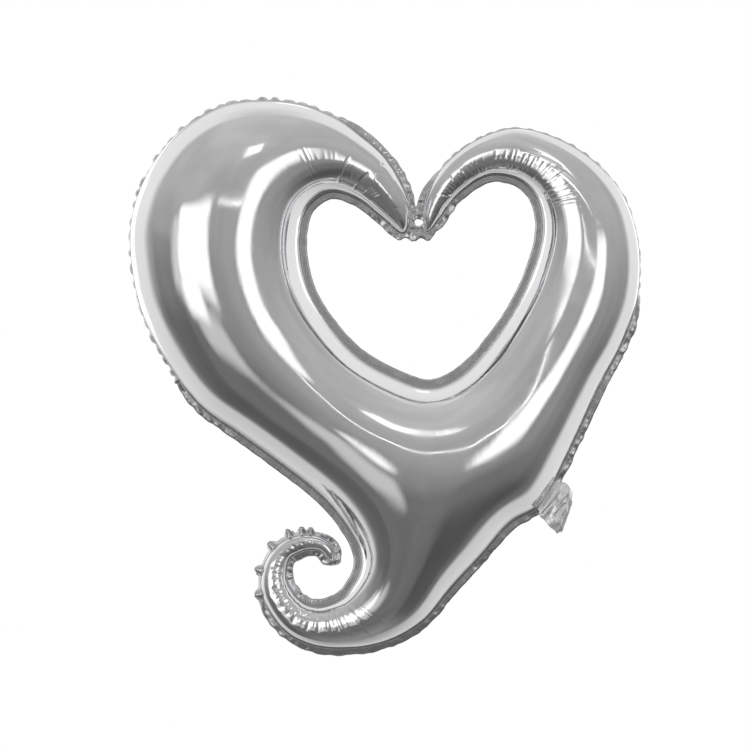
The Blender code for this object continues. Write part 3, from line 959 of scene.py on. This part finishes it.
def make_surroundings():
    """Soft studio: grey walls, a darker floor and wall, soft boxes, a lamp and a strip light."""
    world = bpy.data.worlds.new("studio")
    world.use_nodes = True
    world.node_tree.nodes.clear()
    bpy.context.scene.world = world
    n = Nodes(world.node_tree)
    direction = n.add("ShaderNodeTexCoord").outputs["Generated"]
    axes = n.add("ShaderNodeSeparateXYZ")
    n.put(axes.inputs[0], direction)
    x, y, z = axes.outputs
    degrees = 180 / math.pi
    up = n.math("MULTIPLY", n.math("ARCSINE", z), degrees)
    depth = n.math("ABSOLUTE", y)
    aside = n.math("MULTIPLY", n.math("ARCTAN2", x, depth), degrees)
    height = n.math("ADD", n.math("DIVIDE", up, 180.0), 0.5)
    level_part = n.math("SQRT", n.math("SUBTRACT", 1.0, n.math("MULTIPLY", z, z)))
    facing = n.math("DIVIDE", n.math("MULTIPLY", y, -1.0), n.math("MAXIMUM", level_part, 0.001))
    turn = n.math("MULTIPLY", n.math("ARCCOSINE", facing), degrees)
    front = n.ramp(height, FRONT_WALL)
    side = n.ramp(height, SIDE_WALL)
    clutter = n.add("ShaderNodeTexNoise")
    n.put(clutter.inputs["Vector"], direction)
    clutter.inputs["Scale"].default_value = 2.2
    clutter.inputs["Detail"].default_value = 3.0
    front = n.math("MULTIPLY", front, n.step(clutter.outputs["Fac"], 0.3, 0.7, 0.9, 1.1))
    for box in (DARK_FLOOR, DARK_WALL):
        dark = soft_box(n, aside, up, box)
        front = n.math("MULTIPLY", front, n.math("SUBTRACT", 1.0, dark))
    level_band = n.step(n.math("ABSOLUTE", up), *LEVEL_BAND, 1.0, 0.0)
    wall = n.blend(n.step(turn, *SIDE_START), front, side)
    level = n.blend(n.math("MULTIPLY", n.step(turn, *REAR_START), level_band), wall, front)
    for box in (LEFT_BOX, LEFT_BOX_FOOT, LEFT_GLOW, LEFT_HALO, RIGHT_BOX, TOP_LAMP):
        level = n.math("MAXIMUM", level, soft_box(n, aside, up, box))
    slanted = n.math("ADD", up, n.math("MULTIPLY", aside, STRIP_SLANT))
    level = n.math("MAXIMUM", level, soft_box(n, aside, slanted, STRIP_LIGHT))
    background = n.add("ShaderNodeBackground")
    n.put(background.inputs["Color"], level)
    n.put(background.inputs["Strength"], 1.0)
    output = n.add("ShaderNodeOutputWorld")
    n.put(output.inputs["Surface"], background.outputs[0])


def soft_box(n, aside, up, box):
    """A lit rectangle of directions: left, right, bottom and top in degrees, and its level."""
    left, right, bottom, top, soft, level = box
    share = n.step(aside, left - soft, left + soft)
    for value, edge in ((aside, right), (up, bottom), (up, top)):
        ends = (0.0, 1.0) if edge == bottom else (1.0, 0.0)
        share = n.math("MULTIPLY", share, n.step(value, edge - soft, edge + soft, *ends))
    return n.math("MULTIPLY", share, level)


def linear(grey):
    """Light level that a mirror of the foil's brightness shows as this 0 to 255 grey."""
    return (grey / 255) ** 2.2 / FOIL_BRIGHTNESS


# Degrees round from straight in front, where the side walls and the rear wall fade in, and
# degrees up or down, where the rear wall fades out
SIDE_START = (88.0, 104.0)
REAR_START = (142.0, 165.0)
LEVEL_BAND = (25.0, 45.0)
# Height, from 0 straight down to 1 straight up, and light level
FRONT_WALL = [
    (0.0, linear(135)), (0.1, linear(125)), (0.22, linear(100)), (0.38, linear(112)),
    (0.43, linear(135)), (0.52, linear(148)), (0.62, linear(160)), (0.75, linear(174)),
    (1.0, linear(184)),
]
SIDE_WALL = [
    (0.0, linear(130)), (0.2, linear(190)), (0.4, linear(215)), (0.6, linear(226)),
    (0.85, linear(222)), (1.0, linear(190)),
]
# Left, right, bottom, top and softness in degrees, seen from the balloon, and light level. For
# the two dark ones it is the share of light taken away
LEFT_BOX = (-50, -14, -8, 22, 4, linear(265))
LEFT_BOX_FOOT = (-50, -28, -17, -4, 4, linear(265))
LEFT_GLOW = (-44, -16, -28, -10, 6, linear(190))
LEFT_HALO = (-58, -46, -12, 18, 6, linear(205))
RIGHT_BOX = (18, 40, -8, 20, 4.5, linear(265))
STRIP_LIGHT = (-9, 18, 15.8, 17.0, 0.6, linear(320))
STRIP_SLANT = 0.28
TOP_LAMP = (0, 14, 35.5, 44.5, 1.5, linear(265))
DARK_FLOOR = (22, 78, -66, -34, 9, 0.42)
DARK_WALL = (-84, -54, -75, 8, 2.5, 0.24)


def make_backdrop():
    """A white cyclorama all round and a pale floor, neither of them seen in the foil."""
    low, high = CAD_BOX
    middle = (low + high) / 2
    white = bpy.data.materials.new("backdrop_white")
    white.use_nodes = True
    white.node_tree.nodes.clear()
    n = Nodes(white.node_tree)
    glow = n.add("ShaderNodeEmission")
    n.put(glow.inputs["Color"], (1.0, 1.0, 1.0, 1.0))
    n.put(glow.inputs["Strength"], 1.0)
    n.put(n.add("ShaderNodeOutputMaterial").inputs["Surface"], glow.outputs[0])
    bpy.ops.mesh.primitive_uv_sphere_add(
        segments=48, ring_count=24, radius=BACKDROP_RADIUS, location=middle, calc_uvs=False
    )
    cyclorama = bpy.context.object
    cyclorama.name = "backdrop"
    bpy.ops.mesh.primitive_circle_add(
        vertices=96, radius=FLOOR_RADIUS, fill_type="NGON",
        location=(middle.x, 0, low.z - FLOOR_DROP),
    )
    floor = bpy.context.object
    floor.name = "floor"
    for item in (cyclorama, floor):
        item.data.materials.append(white)
        item.visible_glossy = False
        item.visible_diffuse = False
        item.visible_transmission = False
        item.visible_shadow = False


# ---------------------------------------------------------------- assembly

def main():
    bpy.context.scene.view_settings.view_transform = "Standard"
    make_camera()
    make_surroundings()
    make_backdrop()
    seam_knots, outer_knots, hole_knots = cad_loops()
    seam = Outline(seam_knots, SEAM_STEP)
    gathers = {
        "right": Gather("heart_hole_right_lobe", 0.105, 5, 165, seam),
        "left": Gather("heart_hole_left_lobe", 0.1, 0, 125, seam),
        "hook": Gather("hook_eye", 0.062, 85, 330, seam),
    }
    flat, faces = triangulated([seam.points], dome_points(seam, gathers))
    faces = faces[inside(seam.points, flat[faces].mean(axis=1))]
    height = film_height(flat, faces)
    height *= (-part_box("front_panel")[0].y - SEAL_HALF_DEPTH) / height.max()
    outer = Outline(outer_knots, SEAM_STEP)
    hole = Outline(hole_knots, SEAM_STEP)
    web = web_middle()
    shape = BorderShape(seam, web, gathers["hook"])
    foil = polished_foil()
    sealed = sealed_foil()
    film = valve_film()
    for name, side, seed, node in (
        ("front_film", -1, 20, "front_panel"), ("rear_film", 1, 40, "rear_panel")
    ):
        relief = dome_relief(flat, gathers, seed)
        make_dome(name, side, flat, faces, height, relief, shape, foil, node)
    make_border(seam, outer, hole, shape, web, sealed)
    make_tail(tail_foil(), film)
    for node in ("valve_front_film", "valve_rear_film"):
        frame["nodes"][node].data.materials.clear()
        frame["nodes"][node].data.materials.append(film)


main()
